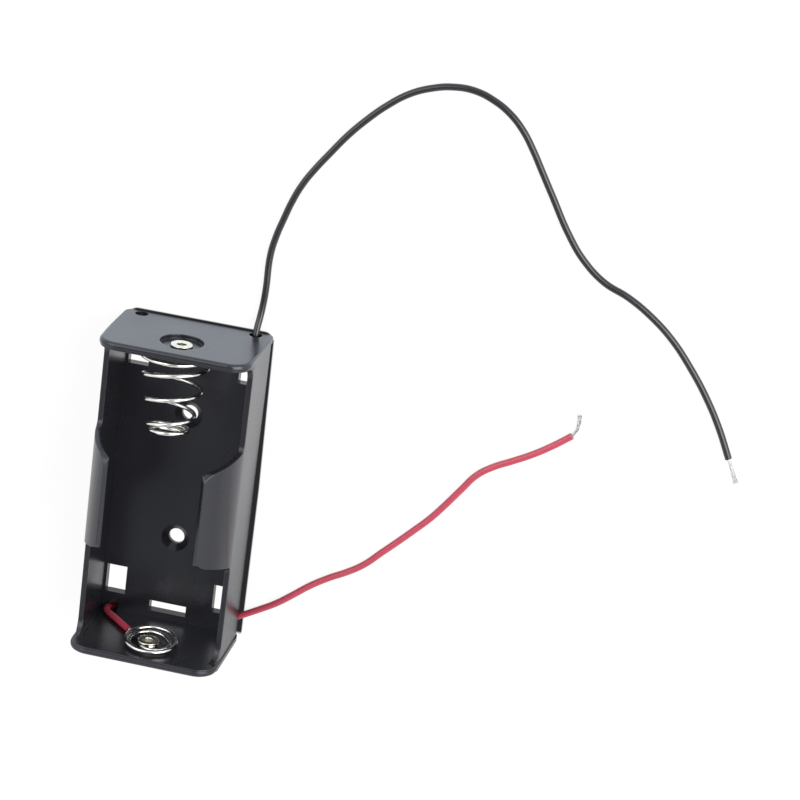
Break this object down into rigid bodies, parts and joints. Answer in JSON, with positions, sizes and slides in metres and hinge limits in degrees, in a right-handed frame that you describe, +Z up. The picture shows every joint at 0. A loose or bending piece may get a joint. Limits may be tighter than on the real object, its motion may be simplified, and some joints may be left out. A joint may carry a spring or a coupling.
{
  "type": "cylindrical cell holder",
  "caption": "Open moulded holder for one cylindrical cell, with retaining wings, a conical spring contact, a wire spiral contact and two free leads.",
  "frame": {"origin": "centre of the holder's underside, which lies on the table", "axes": "+X across the holder towards the side the leads lie on, +Y along the cell towards the spring contact, +Z up out of the open side"},
  "size_m": [0.1183, 0.1159, 0.024],
  "materials": {
    "black_plastic": "moulded, semi-gloss",
    "plated_wire": "bright nickel plate",
    "plated_rivet": "bright nickel plate",
    "black_insulation": "smooth",
    "red_insulation": "smooth",
    "tinned_copper": "tinned"
  },
  "bodies": {
    "holder": {"housing": "black_plastic", "negative_rivet": "plated_rivet", "positive_contact": "plated_wire", "positive_rivet": "plated_rivet", "black_lead": "black_insulation", "black_lead_tip": "tinned_copper", "black_lead_tail": "tinned_copper", "red_lead": "red_insulation", "red_lead_tip": "tinned_copper", "red_lead_tail": "tinned_copper"},
    "spring": {"negative_spring": "plated_wire"}
  },
  "joints": [
    {"name": "spring_travel", "type": "slide", "parent": "holder", "child": "spring", "axis": [0, 1, 0], "range_m": [0, 0.012], "stiffness_N_per_m": 900, "deforming": ["negative_spring"]}
  ]
}
